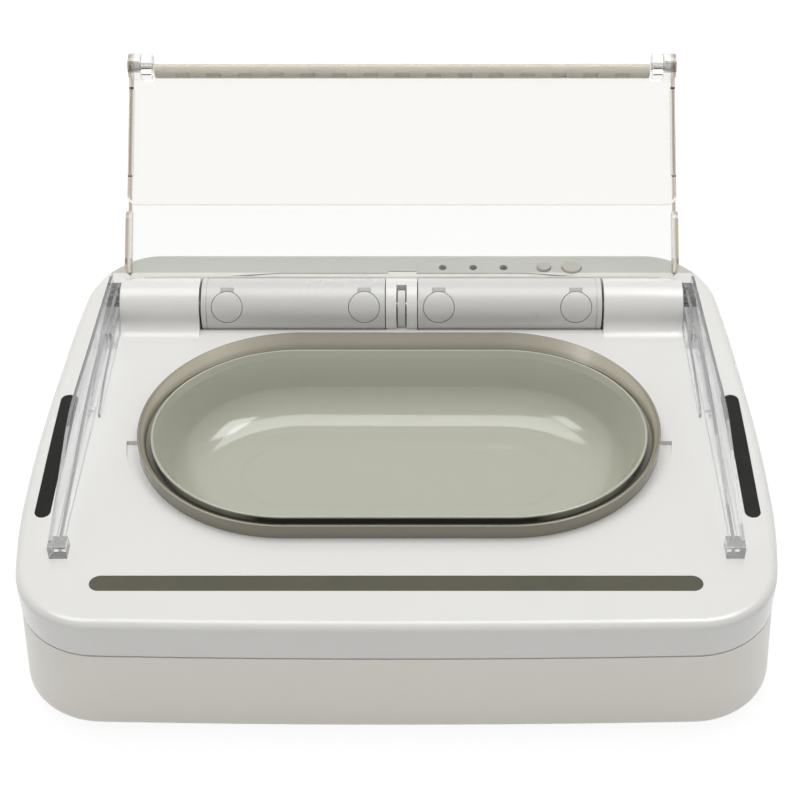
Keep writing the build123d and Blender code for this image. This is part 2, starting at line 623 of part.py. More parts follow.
def main_board_parts():
    """Chips, capacitors, sounder and plugs on the main board."""
    top = MAIN_BOARD_Z[1]
    chips = [
        block((24, 36), (84, 96), (top, top + 1.6)),
        block((42, 50), (86, 92), (top, top + 1.4)),
        block((20, 30), (104, 112), (top, top + 7)),
        block((36, 54), (106, 112), (top, top + 6)),
        post(6.0, 48.0, 74.0, (top, top + 6)),
        post(3.2, 24.0, 74.0, (top, top + 9)),
        post(3.2, 33.0, 74.0, (top, top + 9)),
    ]
    return joined(chips)


def control_board():
    """The small board under the rear deck that carries switches and lights."""
    return block((9.0, 101.0), (106.0, 121.0), CONTROL_BOARD_Z)


def control_board_parts():
    """Two push switches and three lights on the control board."""
    top = CONTROL_BOARD_Z[1]
    parts = []
    for x, _ in (SMALL_BUTTON, LARGE_BUTTON):
        parts.append(block((x - 3, x + 3), (CONTROL_Y - 3, CONTROL_Y + 3), (top, top + 2.4)))
        parts.append(post(1.7, x, CONTROL_Y, (top + 2.4, top + 3.0)))
    for x in LENS_X:
        parts.append(block((x - 1.5, x + 1.5), (CONTROL_Y - 1, CONTROL_Y + 1), (top, top + 1.2)))
    return joined(parts)


def indicator_lenses():
    """Three light pipes with round heads in the rear deck."""
    bottom = CONTROL_BOARD_Z[1] + 1.2
    lenses = []
    for x in LENS_X:
        lens = post(LENS_R, x, CONTROL_Y, (bottom, REAR_DECK_Z + 0.6))
        lenses.append(fillet(lens.edges().group_by(Axis.Z)[-1], 0.5))
    return joined(lenses)


def push_button(x, radius):
    """One button with its flange below the deck and a stem above its switch."""
    under = REAR_DECK_Z - DECK_THICK
    cap = post(radius, x, CONTROL_Y, (under - 1.6, REAR_DECK_Z + 1.2))
    cap = fillet(cap.edges().group_by(Axis.Z)[-1], 0.6)
    flange = post(radius + 1.5, x, CONTROL_Y, (under - 1.6, under - BUTTON_GAP))
    stem = post(1.5, x, CONTROL_Y, (CONTROL_BOARD_Z[1] + 3.0 + BUTTON_TRAVEL + BUTTON_GAP, under - 1.5))
    return cap + flange + stem


# ---- hinge and lid, drawn flat with the axis at the origin ---------------------------------------
def to_open(part):
    """Turns a lid piece drawn along +Y from the axis into its open place."""
    return Pos(0, HINGE_Y, HINGE_Z) * Rot(LID_OPEN, 0, 0) * part


def plug_axis():
    """The frame in which the plugs are drawn: +Z runs out of the barrel along the plug."""
    return Pos(0, HINGE_Y, HINGE_Z) * Rot(PLUG_ANGLE - 90, 0, 0)


def hub_shaft():
    """The steel shaft that joins both barrel halves and carries the drive gear."""
    return bar(SHAFT_R, (-OPENING_HALF - BUSH_LENGTH - 1, FIRST_STAGE_X[1] + 1.2), HINGE_Y, HINGE_Z)


def hinge_end_bushes():
    """The two plain bearings in the end walls of the hinge."""
    bush = bar(BUSH_R, (OPENING_HALF, OPENING_HALF + BUSH_LENGTH), HINGE_Y, HINGE_Z)
    bore = bar(SHAFT_R + RUNNING_FIT, (OPENING_HALF - 1, OPENING_HALF + BUSH_LENGTH + 1), HINGE_Y, HINGE_Z)
    return pair(bush - bore)


def hinge_centre_web():
    """The smooth rib in the slot of the centre block."""
    web = bar(CENTRE_WEB_R, (-CENTRE_WEB_HALF, CENTRE_WEB_HALF), HINGE_Y, HINGE_Z)
    return web & block((-5, 5), (HINGE_Y - 20, HINGE_Y + CENTRE_WEB_END), (DECK_Z, HINGE_Z + 20))


def lid_hub():
    """The right barrel half with the slot for the panel and the pockets of the plugs."""
    hub = bar(BARREL_R, (BARREL_IN, BARREL_OUT), 0, 0)
    hub = fillet(hub.edges().filter_by(GeomType.CIRCLE), 0.5)
    line_x = (BARREL_OUT - 2.9, BARREL_OUT - 2.5)
    hub = hub - (bar(BARREL_R + 1, line_x, 0, 0) - bar(BARREL_R - 0.5, line_x, 0, 0))
    hub = hub - bar(SHAFT_R, (0, BARREL_OUT + 1), 0, 0)
    hub = hub - block((TAB_IN, TAB_OUT), (TAB_START, BARREL_R + 1), (-PANEL_OUT, -PANEL_IN))
    hub = to_open(hub)
    for x in PLUG_X:
        hub = hub - plug_axis() * post(PLUG_POCKET_R, x, 0, (PLUG_SEAT, BARREL_R + 2))
        hub = hub - plug_axis() * post(2.0, x, 0, (SHAFT_R, PLUG_SEAT + 1))
        notch = block((x - PLUG_NOTCH[0] / 2, x + PLUG_NOTCH[0] / 2),
                      (PLUG_POCKET_R - 1, PLUG_POCKET_R + PLUG_NOTCH[1]), (PLUG_SEAT + 1, BARREL_R + 1))
        hub = hub - plug_axis() * notch
    return hub


def hub_screw_plugs():
    """Four round plugs, flush with the barrel, under which the grub screws lie."""
    skin = bar(BARREL_R, (-BARREL_OUT, BARREL_OUT), HINGE_Y, HINGE_Z)
    plugs = []
    for x in (-PLUG_X[1], -PLUG_X[0], PLUG_X[0], PLUG_X[1]):
        plug = plug_axis() * post(PLUG_R, x, 0, (PLUG_SEAT, BARREL_R + 1))
        plugs.append(plug & skin)
    return joined(plugs)


def hub_screws():
    """Four grub screws that lock the barrel halves to the shaft."""
    screws = []
    for x in (-PLUG_X[1], -PLUG_X[0], PLUG_X[0], PLUG_X[1]):
        screw = post(2.0, x, 0, (SHAFT_R, PLUG_SEAT - 0.6))
        socket = extrude(Pos(x, 0, PLUG_SEAT - 2.2) * RegularPolygon(1.15, 6), amount=3)
        screws.append(plug_axis() * (screw - socket))
    return joined(screws)


def lid_rear_panel():
    """The clear panel between the barrel and the fold, with side flanges and outer knuckles."""
    plate = block((-LID_HALF, LID_HALF), (PANEL_START, PIN_DISTANCE - 0.2), (-PANEL_OUT, -PANEL_IN))
    plate = fillet(plate.edges().filter_by(Axis.Z).group_by(Axis.Y)[0], 4.0)
    plate = plate + pair(block((TAB_IN, TAB_OUT), (TAB_START, PANEL_START + 1), (-PANEL_OUT, -PANEL_IN)))
    flange_x = (LID_HALF - PANEL_THICK, LID_HALF)
    flange = block(flange_x, FLANGE_S, (-PANEL_IN - 0.1, 5.0))
    flange = fillet(flange.edges().filter_by(Axis.X).group_by(Axis.Z)[-1], 5.0)
    knuckle = bar(KNUCKLE_R, OUTER_KNUCKLE, PIN_DISTANCE, 0)
    reach = (PIN_DISTANCE - KNUCKLE_R - KNUCKLE_CLEAR, PIN_DISTANCE + 1)
    notch = block((INNER_KNUCKLE[0] - 0.6, OUTER_KNUCKLE[0]), reach, (-PANEL_OUT - 1, 0))
    bore = bar(PIN_R, (OUTER_KNUCKLE[0] - 1, OUTER_KNUCKLE[1] + 1), PIN_DISTANCE, 0)
    return to_open(plate + pair(flange) - pair(notch) + pair(knuckle) - pair(bore))


def lid_seal_strip():
    """The soft strip along the fold, with a row of small slots in its lower edge."""
    middle = PIN_DISTANCE - STRIP_DROP
    strip = bar(STRIP_R, (-STRIP_HALF, STRIP_HALF), middle, 0)
    strip = strip + block((-STRIP_HALF, STRIP_HALF), (middle - STRIP_R, middle), (-PANEL_IN, 0))
    for step in range(-7, 8):
        x = step * 16.3
        strip = strip - block((x - 3.8, x + 3.8), (middle - STRIP_R - 1, middle - 1.9), (-1.6, 4))
    return to_open(strip)


def flap_hinge_pins():
    """Two steel pins through the knuckles of the fold."""
    return to_open(pair(bar(PIN_R, (INNER_KNUCKLE[0] - 0.4, OUTER_KNUCKLE[1] - 0.2), PIN_DISTANCE, 0)))


def lid_front_flap():
    """The clear front flap, folded against the rear panel while the lid is open."""
    free = PIN_DISTANCE - FLAP_LENGTH
    plate = block((-FLAP_HALF, FLAP_HALF), (free, PIN_DISTANCE - 0.3), (PANEL_IN, PANEL_OUT))
    plate = fillet(plate.edges().filter_by(Axis.Z).group_by(Axis.Y)[0], 5.0)
    edge = plate.edges().filter_by(Axis.X).group_by(Axis.Y)[0]
    plate = fillet(edge, 1.1)
    flange = block((FLAP_HALF - 2.2, FLAP_HALF), (free + 15, PIN_DISTANCE - 12), (-0.5, PANEL_IN + 0.1))
    flange = fillet(flange.edges().filter_by(Axis.X).group_by(Axis.Z)[0], 3.0)
    reach = (PIN_DISTANCE - KNUCKLE_R - KNUCKLE_CLEAR, PIN_DISTANCE + 1)
    notch = block((OUTER_KNUCKLE[0] - 0.4, LID_HALF + 1), reach, (0, PANEL_OUT + 1))
    knuckle = bar(KNUCKLE_R, INNER_KNUCKLE, PIN_DISTANCE, 0)
    bore = bar(PIN_R + RUNNING_FIT, (INNER_KNUCKLE[0] - 1, INNER_KNUCKLE[1] + 1), PIN_DISTANCE, 0)
    return to_open(plate + pair(flange) - pair(notch) + pair(knuckle) - pair(bore))


# ---- drive ---------------------------------------------------------------------------------------
def gear_centre(angle, teeth, next_teeth, start):
    """Centre (y, z) of the next gear of a pair, seen at the given angle from the first."""
    reach = GEAR_MODULE * (teeth + next_teeth) / 2
    return start[0] + reach * cos(radians(angle)), start[1] + reach * sin(radians(angle))


def involute(angle):
    """The involute function of an angle."""
    return tan(angle) - angle


def gear(teeth, x, centre, turn):
    """A spur gear along X with involute flanks and one tooth pointing at the turn angle."""
    pitch = GEAR_MODULE * teeth / 2
    base = pitch * cos(radians(PRESSURE_ANGLE))
    tip = pitch + GEAR_MODULE * ADDENDUM
    root = pitch - GEAR_MODULE * DEDENDUM
    half = pi / (2 * teeth) - TOOTH_THINNING / pitch + involute(radians(PRESSURE_ANGLE))

    def flank(radius, side, middle):
        angle = middle + side * (half - involute(acos(min(1.0, base / radius))))
        return radius * cos(angle), radius * sin(angle)

    low = max(base, root)
    radii = [low + (tip - low) * step / 4 for step in range(5)]
    edges = []
    for tooth in range(teeth):
        middle = radians(turn) + 2 * pi * tooth / teeth
        rising = [flank(radius, -1, middle) for radius in radii]
        falling = [flank(radius, 1, middle) for radius in reversed(radii)]
        foot = middle - half + (involute(acos(min(1.0, base / low))))
        foot_end = middle + half - (involute(acos(min(1.0, base / low))))
        root_start = (root * cos(foot), root * sin(foot))
        root_end = (root * cos(foot_end), root * sin(foot_end))
        next_foot = foot + 2 * pi / teeth
        gap = (foot_end + next_foot) / 2
        if root < low:
            edges.append(Line(root_start, rising[0]))
            edges.append(Line(falling[-1], root_end))
        edges.append(Spline(*rising))
        edges.append(ThreePointArc(rising[-1], (tip * cos(middle), tip * sin(middle)), falling[0]))
        edges.append(Spline(*falling))
        edges.append(ThreePointArc(root_end, (root * cos(gap), root * sin(gap)),
                                   (root * cos(next_foot), root * sin(next_foot))))
    return prism(Pos(*centre) * make_face(edges), x)


def drive_centres():
    """Centres of the hub gear, the double gear and the motor pinion."""
    hub = (HINGE_Y, HINGE_Z)
    double = gear_centre(FIRST_STAGE_ANGLE, HUB_TEETH, PINION_TEETH, hub)
    motor_centre = gear_centre(SECOND_STAGE_ANGLE, WHEEL_TEETH, PINION_TEETH, double)
    return hub, double, motor_centre


def drive_gear():
    """The gear on the lid's shaft."""
    hub, _, _ = drive_centres()
    wheel = gear(HUB_TEETH, FIRST_STAGE_X, hub, FIRST_STAGE_ANGLE)
    return wheel - bar(SHAFT_R, (FIRST_STAGE_X[0] - 1, FIRST_STAGE_X[1] + 1), *hub)


def reduction_gear():
    """The double gear: a pinion that drives the hub gear and a wheel that the motor turns."""
    _, double, _ = drive_centres()
    meshing = FIRST_STAGE_ANGLE + 180 + 180 / PINION_TEETH
    pinion = gear(PINION_TEETH, (FIRST_STAGE_X[0], SECOND_STAGE_X[0] + 0.1), double, meshing)
    wheel = gear(WHEEL_TEETH, SECOND_STAGE_X, double, SECOND_STAGE_ANGLE)
    return pinion + wheel - bar(1.5 + RUNNING_FIT, (FIRST_STAGE_X[0] - 1, SECOND_STAGE_X[1] + 1), *double)


def motor_pinion():
    """The small gear on the motor's shaft, with the shaft."""
    _, _, centre = drive_centres()
    meshing = SECOND_STAGE_ANGLE + 180 + 180 / PINION_TEETH
    stub = bar(1.5, (MOTOR_X[1] - 3, SECOND_STAGE_X[1]), *centre)
    return gear(PINION_TEETH, SECOND_STAGE_X, centre, meshing) + stub


def motor():
    """The geared motor: a can and a gearbox with a bore for its shaft."""
    _, _, centre = drive_centres()
    can = bar(MOTOR_R - 0.5, (MOTOR_X[0], MOTOR_X[1] - 12), *centre)
    box = bar(MOTOR_R, (MOTOR_X[1] - 12, MOTOR_X[1]), *centre)
    tail = bar(3.0, (MOTOR_X[0] - 2, MOTOR_X[0]), *centre)
    return can + box + tail - bar(1.5 + RUNNING_FIT, (MOTOR_X[1] - 3.5, MOTOR_X[1] + 1), *centre)


def gear_bracket():
    """The frame that holds the motor and the axle of the double gear."""
    _, double, centre = drive_centres()
    plate_x = (SECOND_STAGE_X[1] + 1.5, SECOND_STAGE_X[1] + 4.0)
    base = block((MOTOR_X[0], plate_x[1]), (centre[0] - 12, centre[0] + 14), (FLOOR_TOP, FLOOR_TOP + 2.5))
    plate = block(plate_x, (centre[0] - 12, double[0] + 8), (FLOOR_TOP, double[1] + 7))
    cradle_y = (centre[0] - 12, centre[0] + 12)
    cradle = block((MOTOR_X[0] + 4, MOTOR_X[1] - 13), cradle_y, (FLOOR_TOP, centre[1] - 4))
    cradle = cradle - bar(MOTOR_R - 0.5, MOTOR_X, *centre)
    return base + plate + cradle - bar(1.5, (plate_x[0] - 1, plate_x[1] + 1), *double)


def reduction_axle():
    """The steel axle of the double gear."""
    _, double, _ = drive_centres()
    return bar(1.5, (FIRST_STAGE_X[0] - 0.5, SECOND_STAGE_X[1] + 4.0), *double)


# ---- power ---------------------------------------------------------------------------------------
def battery_box():
    """The box over the cells, open below, with a low rib between the two rows."""
    outer = block((BOX_X[0] - BOX_WALL, BOX_X[1] + BOX_WALL), (BOX_Y[0] - BOX_WALL, BOX_Y[1] + BOX_WALL),
                  (FLOOR_TOP, BOX_ROOF))
    hollow = block(BOX_X, BOX_Y, (FLOOR_TOP - 1, BOX_ROOF - BOX_WALL))
    middle = sum(BOX_Y) / 2
    rib = block(BOX_X, (middle - 1, middle + 1), (BOX_ROOF - 5.5, BOX_ROOF - BOX_WALL))
    return outer - hollow + rib


def battery_cells():
    """Four round cells in two rows, each with its raised contact."""
    cells = []
    for y in CELL_Y:
        for start in (BOX_X[0] + 4.0, BOX_X[0] + 4.5 + CELL_LENGTH + 1.5):
            can = bar(CELL_R, (start, start + CELL_LENGTH), y, CELL_Z)
            cap = bar(3.0, (start + CELL_LENGTH, start + CELL_LENGTH + 1.2), y, CELL_Z)
            cells.append(fillet(can.edges(), 0.8) + cap)
    return joined(cells)


def battery_contacts():
    """Flat plates and stepped springs at the two ends of the cell rows."""
    parts = []
    for y in CELL_Y:
        for x in ((BOX_X[0], BOX_X[0] + 0.5), (BOX_X[1] - 0.5, BOX_X[1])):
            parts.append(block(x, (y - 8, y + 8), (CELL_Z - 8, CELL_Z + 8)))
        for step in range(3):
            start = BOX_X[0] + 0.5 + step * 1.16
            ring = bar(6.0 - step, (start, start + 1.17), y, CELL_Z)
            ring = ring - bar(4.6 - step, (start - 1, start + 3), y, CELL_Z)
            parts.append(ring)
    return joined(parts)


def battery_door():
    """The sliding door with side tongues and a ribbed thumb grip."""
    x, y = door_plan(0)
    ledge = FOOT_HEIGHT + DOOR_THICK / 2 + DOOR_GAP / 2
    upper = block(x, y, (ledge, FOOT_HEIGHT + DOOR_THICK))
    lower = block((x[0] + DOOR_TONGUE, x[1] - DOOR_TONGUE), y, (FOOT_HEIGHT, ledge + 0.1))
    middle = sum(x) / 2
    door = upper + lower
    for step in range(5):
        rib_y = y[1] - 8 - 3 * step
        groove_z = (FOOT_HEIGHT - 1, FOOT_HEIGHT + 0.6)
        door = door - block((middle - 12, middle + 12), (rib_y, rib_y + 1.5), groove_z)
    return door


def case_screws():
    """Four screws from below that join the two halves of the case."""
    screws = []
    for x, y in CASE_SCREWS:
        head = post(SCREW_HEAD_R, x, y, (SCREW_HEAD_TOP - 2.4, SCREW_HEAD_TOP))
        shank = post(SCREW_R, x, y, (SCREW_HEAD_TOP - 0.1, DECK_UNDER - 6))
        cross = block((x - 1.8, x + 1.8), (y - 0.4, y + 0.4), (SCREW_HEAD_TOP - 3, SCREW_HEAD_TOP - 1.2))
        slot_z = (SCREW_HEAD_TOP - 3, SCREW_HEAD_TOP - 1.2)
        cross = cross + block((x - 0.4, x + 0.4), (y - 1.8, y + 1.8), slot_z)
        screws.append(head + shank - cross)
    return joined(screws)


def rubber_feet():
    """Four soft feet in shallow pockets."""
    feet = []
    for x, y in FEET:
        foot = post(FOOT_R, x, y, (0, FOOT_SEAT))
        feet.append(fillet(foot.edges().group_by(Axis.Z)[0], 0.8))
    return joined(feet)


# ---- export --------------------------------------------------------------------------------------
def all_nodes():
    """Every node of the assembly by name."""
    hub = lid_hub()
    window = side_window()
    guard = side_wall()
    return {
        "lower_shell": lower_shell(),
        "upper_shell": upper_shell(),
        "bowl_well": bowl_well(),
        "bowl_collar": bowl_collar(),
        "food_bowl": food_bowl(),
        "antenna_coil": antenna_coil(),
        "front_window": front_window(),
        "left_window": mirror(window, Plane.YZ),
        "right_window": window,
        "front_sensor_board": sensor_board(FRONT_WINDOW, 0, FRONT_WINDOW_Y, False),
        "left_sensor_board": sensor_board(SIDE_WINDOW, -SIDE_WINDOW_X, SIDE_WINDOW_Y, True),
        "right_sensor_board": sensor_board(SIDE_WINDOW, SIDE_WINDOW_X, SIDE_WINDOW_Y, True),
        "infrared_emitters": infrared_emitters(),
        "left_side_wall": mirror(guard, Plane.YZ),
        "right_side_wall": guard,
        "main_board": main_board(),
        "main_board_parts": main_board_parts(),
        "control_board": control_board(),
        "control_board_parts": control_board_parts(),
        "indicator_lenses": indicator_lenses(),
        "small_button": push_button(*SMALL_BUTTON),
        "large_button": push_button(*LARGE_BUTTON),
        "hinge_end_bushes": hinge_end_bushes(),
        "hinge_centre_web": hinge_centre_web(),
        "hub_shaft": hub_shaft(),
        "lid_hub_left": mirror(hub, Plane.YZ),
        "lid_hub_right": hub,
        "hub_screws": hub_screws(),
        "hub_screw_plugs": hub_screw_plugs(),
        "lid_rear_panel": lid_rear_panel(),
        "lid_seal_strip": lid_seal_strip(),
        "flap_hinge_pins": flap_hinge_pins(),
        "lid_front_flap": lid_front_flap(),
        "drive_gear": drive_gear(),
        "reduction_gear": reduction_gear(),
        "reduction_axle": reduction_axle(),
        "motor_pinion": motor_pinion(),
        "motor": motor(),
        "gear_bracket": gear_bracket(),
        "battery_box": battery_box(),
        "battery_cells": battery_cells(),
        "battery_contacts": battery_contacts(),
        "battery_door": battery_door(),
        "case_screws": case_screws(),
        "rubber_feet": rubber_feet(),
    }


def main():
    """Writes one file per node, moved so that the middle of the assembly is over the origin."""
    os.makedirs("parts", exist_ok=True)
    for name, part in all_nodes().items():
        export_step(Pos(0, FRAME_SHIFT, 0) * part, os.path.join("parts", name + ".step"))


main()
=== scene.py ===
"""Looks for an automatic pet feeder with a folding clear lid, laid out as an add-on and run as a script."""

import json
import math

import bmesh
import bpy
import numpy as np
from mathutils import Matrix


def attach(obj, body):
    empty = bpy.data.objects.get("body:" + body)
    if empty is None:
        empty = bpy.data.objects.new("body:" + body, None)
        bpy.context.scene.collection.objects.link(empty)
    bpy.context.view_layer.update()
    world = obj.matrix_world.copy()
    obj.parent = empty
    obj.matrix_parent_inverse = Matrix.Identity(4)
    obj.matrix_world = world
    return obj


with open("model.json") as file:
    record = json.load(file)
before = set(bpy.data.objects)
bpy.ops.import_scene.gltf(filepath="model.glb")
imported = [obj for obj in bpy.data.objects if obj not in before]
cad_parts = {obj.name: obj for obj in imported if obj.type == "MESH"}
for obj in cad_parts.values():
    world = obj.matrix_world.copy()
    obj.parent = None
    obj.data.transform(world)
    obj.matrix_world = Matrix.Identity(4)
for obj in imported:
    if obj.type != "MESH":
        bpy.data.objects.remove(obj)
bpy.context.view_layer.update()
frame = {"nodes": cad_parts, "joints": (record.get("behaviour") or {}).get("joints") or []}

bl_info = {
    "name": "Pet Feeder Looks",
    "version": (1, 0, 0),
    "blender": (4, 5, 0),
    "location": "View3D > Sidebar > Feeder",
    "description": "Surfaces, finishes, light and camera for an automatic pet feeder",
    "category": "Object",
}


# Where things stand in the frame, in metres.
LID_SWING = next(joint for joint in frame["joints"] if joint["name"] == "lid_swing")
HINGE = LID_SWING["pos_m"][1:]
LID_TILT = math.radians(45.0)
REAR_DECK_Y = (0.0818, 0.0985)
REAR_DECK_Z = 0.0765
# Ends and forward bend of the painted gap shadow, a dark line along the front of the rear deck.
GAP_SHADOW_ENDS = (0.064, 0.092)
GAP_SHADOW_DROP = 0.0035
BOWL_MIDDLE_Y = -0.0345
BOWL_FLOOR_HALF = 0.055
BOWL_FLOOR_RIDGE = (0.0195, 0.0225)
# Oval of the bowl's rim, and the side and height bands of the painted shadow below the lip at the front.
BOWL_RIM_MIDDLE_Y = -0.03446
BOWL_RIM_HALF = 0.0565
BOWL_LIP_SHADOW_SIDE = (0.0586, 0.0593)
BOWL_LIP_SHADOW_Z = (0.0718, 0.0710)
# Oval and wall of the collar, with the height of its painted foot shadow and the span of the painted light
# towards its ends.
COLLAR_MIDDLE_Y = -0.03396
COLLAR_HALF = 0.0529
COLLAR_WALL = (0.0676, 0.0688)
COLLAR_FOOT_SHADOW = (0.0722, 0.0706)
COLLAR_LIT_ENDS = (0.050, 0.108)
FRONT_SHADE_Y = (-0.060, -0.015)
# Band at the two sides of the lid that takes painted shade for the dark refraction along its sides.
LID_SIDE_SHADE = (0.1399, 0.1404)
BEAD_HALF = 0.1335
BEAD_RADIUS = 0.0009
BEAD_OUT = 0.0152
BEAD_FRONT = -0.0049
FLOOR_HALF = 6.0
FLOOR_DROP = 0.0002


# ---- settings ------------------------------------------------------------------------------------
def colour_setting(name, description, default):
    """A colour that a user can change, in linear light."""
    return bpy.props.FloatVectorProperty(
        name=name, description=description, default=default, subtype="COLOR", size=3, min=0.0, max=1.0
    )


class FeederColours(bpy.types.PropertyGroup):
    """Colours of the visible plastics."""

    # The hinge takes this colour darkened, as painted shade.
    upper_case: colour_setting("Upper case", "Glossy plastic of upper case and hinge", (0.81, 0.803, 0.778))
    lower_case: colour_setting("Lower case", "Satin plastic of the lower case", (0.88, 0.85, 0.785))
    collar: colour_setting("Collar", "Taupe plastic of the ring round the bowl", (0.30, 0.275, 0.215))
    bowl: colour_setting("Bowl", "Sage plastic of the lift-out bowl", (0.47, 0.475, 0.39))
    front_window: colour_setting("Front window", "Smoked plastic over the front sensor", (0.07, 0.066, 0.036))
    side_window: colour_setting("Side windows", "Near-black plastic over side sensors", (0.006, 0.006, 0.004))
    clear: colour_setting("Clear lid", "Tint of the lid", (0.952, 0.948, 0.930))
    guard: colour_setting("Clear walls", "Tint of the side walls", (0.965, 0.972, 0.982))
    # Painted shade: a deeper tint on the lid's two side faces, standing in for the dark lines that refraction
    # gives there.
    lid_edge_shade: colour_setting("Lid edges", "Deeper tint of the lid along its two sides", (0.46, 0.40, 0.32))
    # Grey-green colour laid by position on the top of the rear deck of the upper case.
    rear_deck: colour_setting("Rear deck", "Grey-green film over the rear deck", (0.545, 0.56, 0.52))
    seal: colour_setting("Seal strip", "Soft strip along the fold of the lid", (0.70, 0.64, 0.55))
    button: colour_setting("Buttons", "Push buttons on the rear deck", (0.50, 0.48, 0.43))


class FeederSizes(bpy.types.PropertyGroup):
    """Sizes of the surface detail and of the stage."""

    grain: bpy.props.FloatProperty(
        name="Moulding grain", description="Width of the fine ripple on moulded plastic", default=0.0011,
        min=0.0001, unit="LENGTH"
    )
    camera_elevation: bpy.props.FloatProperty(
        name="Camera elevation", description="Angle of the view above the horizon",
        default=math.radians(40.0), subtype="ANGLE"
    )
    camera_y: bpy.props.FloatProperty(
        name="Camera distance", description="How far in front of the middle the camera stands",
        default=-0.6145, unit="LENGTH"
    )
    camera_z: bpy.props.FloatProperty(
        name="Camera height", description="Height of the camera above the floor",
        default=0.5761, unit="LENGTH"
    )
    camera_x: bpy.props.FloatProperty(
        name="Camera offset", description="How far right of the middle the camera stands", default=0.0144,
        unit="LENGTH"
    )
    camera_shift: bpy.props.FloatProperty(
        name="Camera shift", description="Sideways shift of the picture, in picture widths", default=-0.0374
    )
    camera_lens: bpy.props.FloatProperty(
        name="Lens", description="Focal length on a 36 mm wide sensor, in millimetres", default=73.62
    )


# ---- node materials ------------------------------------------------------------------------------
class Finish:
    """A node material built around one Principled shader, patterned in object coordinates."""

    def __init__(self, name):
        self.material = bpy.data.materials.new(name)
        self.material.use_nodes = True
        self.nodes = self.material.node_tree.nodes
        self.links = self.material.node_tree.links
        self.nodes.clear()
        self.output = self.nodes.new("ShaderNodeOutputMaterial")
        self.shader = self.nodes.new("ShaderNodeBsdfPrincipled")
        self.links.new(self.shader.outputs["BSDF"], self.output.inputs["Surface"])
        self.coordinates = self.nodes.new("ShaderNodeTexCoord").outputs["Object"]

    def set(self, **values):
        """Sets plain values on the shader's own sockets, by name with underscores for spaces."""
        for key, value in values.items():
            self.shader.inputs[key.replace("_", " ")].default_value = value
        return self

    def stretched(self, scale):
        """Object coordinates stretched by three factors."""
        mapping = self.nodes.new("ShaderNodeMapping")
        mapping.inputs["Scale"].default_value = scale
        self.links.new(self.coordinates, mapping.inputs["Vector"])
        return mapping.outputs["Vector"]

    def noise(self, scale, detail=2.0, roughness=0.5, stretch=None):
        """Soft noise with about the given number of lumps a metre."""
        node = self.nodes.new("ShaderNodeTexNoise")
        node.inputs["Scale"].default_value = scale
        node.inputs["Detail"].default_value = detail
        node.inputs["Roughness"].default_value = roughness
        self.links.new(self.stretched(stretch) if stretch else self.coordinates, node.inputs["Vector"])
        return node.outputs["Fac"]

    def between(self, factor, low, high, start=0.0, end=1.0):
        """A number that runs from low to high as the factor runs from start to end."""
        node = self.nodes.new("ShaderNodeMapRange")
        self.links.new(factor, node.inputs["Value"])
        for name, value in (("From Min", start), ("From Max", end), ("To Min", low), ("To Max", high)):
            node.inputs[name].default_value = value
        return node.outputs["Result"]

    def mixed(self, factor, first, second):
        """A colour that runs from the first to the second with the factor."""
        node = self.nodes.new("ShaderNodeMix")
        node.data_type = "RGBA"
        self.links.new(factor, node.inputs[0])
        for index, colour in ((6, first), (7, second)):
            if isinstance(colour, bpy.types.NodeSocket):
                self.links.new(colour, node.inputs[index])
            else:
                node.inputs[index].default_value = (*colour[:3], 1.0)
        return node.outputs[2]

    def feed(self, socket, name):
        """Feeds a pattern into a socket of the shader."""
        self.links.new(socket, self.shader.inputs[name])
        return self

    def math(self, operation, first, second=0.0):
        """The result of one sum on two numbers or sockets."""
        node = self.nodes.new("ShaderNodeMath")
        node.operation = operation
        for index, value in enumerate((first, second)):
            if isinstance(value, bpy.types.NodeSocket):
                self.links.new(value, node.inputs[index])
            else:
                node.inputs[index].default_value = value
        return node.outputs[0]

    def place(self, axis):
        """One object coordinate: 0 for X, 1 for Y, 2 for Z."""
        place = self.nodes.new("ShaderNodeSeparateXYZ")
        self.links.new(self.coordinates, place.inputs[0])
        return place.outputs[axis]

    def oval(self, centre_y, straight, start, end):
        """Runs from 0 to 1 with the distance from a flat oval round a line of the given half length."""
        past = self.math("SUBTRACT", self.math("ABSOLUTE", self.place(0)), straight)
        beyond = self.math("MAXIMUM", past, 0.0)
        aside = self.math("SUBTRACT", self.place(1), centre_y)
        squares = self.math("ADD", self.math("POWER", beyond, 2.0), self.math("POWER", aside, 2.0))
        distance = self.math("SQRT", squares)
        return self.between(distance, 0.0, 1.0, start, end)

    def band(self, axis, start, end, absolute=False):
        """Runs from 0 to 1 as one object coordinate, or its size without sign, runs from start to end."""
        value = self.place("XYZ".index(axis))
        return self.between(self.math("ABSOLUTE", value) if absolute else value, 0.0, 1.0, start, end)

    def seam(self, y, drop):
        """1 on a thin line across the deck at the given y that bends forwards by the drop at both ends: a
        painted shadow for the shaded gap between the rear deck and the hinge cover.
        """
        out = self.math("ABSOLUTE", self.place(0))
        line = self.math("SUBTRACT", y, self.between(out, 0.0, drop, *GAP_SHADOW_ENDS))
        away = self.math("ABSOLUTE", self.math("SUBTRACT", self.place(1), line))
        thick = self.between(out, 0.0005, 0.0012, 0.070, 0.092)
        sharp = self.math("SUBTRACT", 1.0, self.math("DIVIDE", away, thick))
        fade = self.between(out, 1.0, 0.0, 0.088, 0.100)
        return self.math("MULTIPLY", self.between(sharp, 0.0, 1.0, 0.0, 0.5), fade)

    def bump(self, height, depth, strength=1.0):
        """Raises the surface by up to the depth, in metres, where the height is 1."""
        node = self.nodes.new("ShaderNodeBump")
        node.inputs["Strength"].default_value = strength
        node.inputs["Distance"].default_value = depth
        self.links.new(height, node.inputs["Height"])
        self.links.new(node.outputs["Normal"], self.shader.inputs["Normal"])
        return self


def tinted(colour, factor):
    """The colour made lighter or darker by a factor."""
    return tuple(min(1.0, channel * factor) for channel in colour)


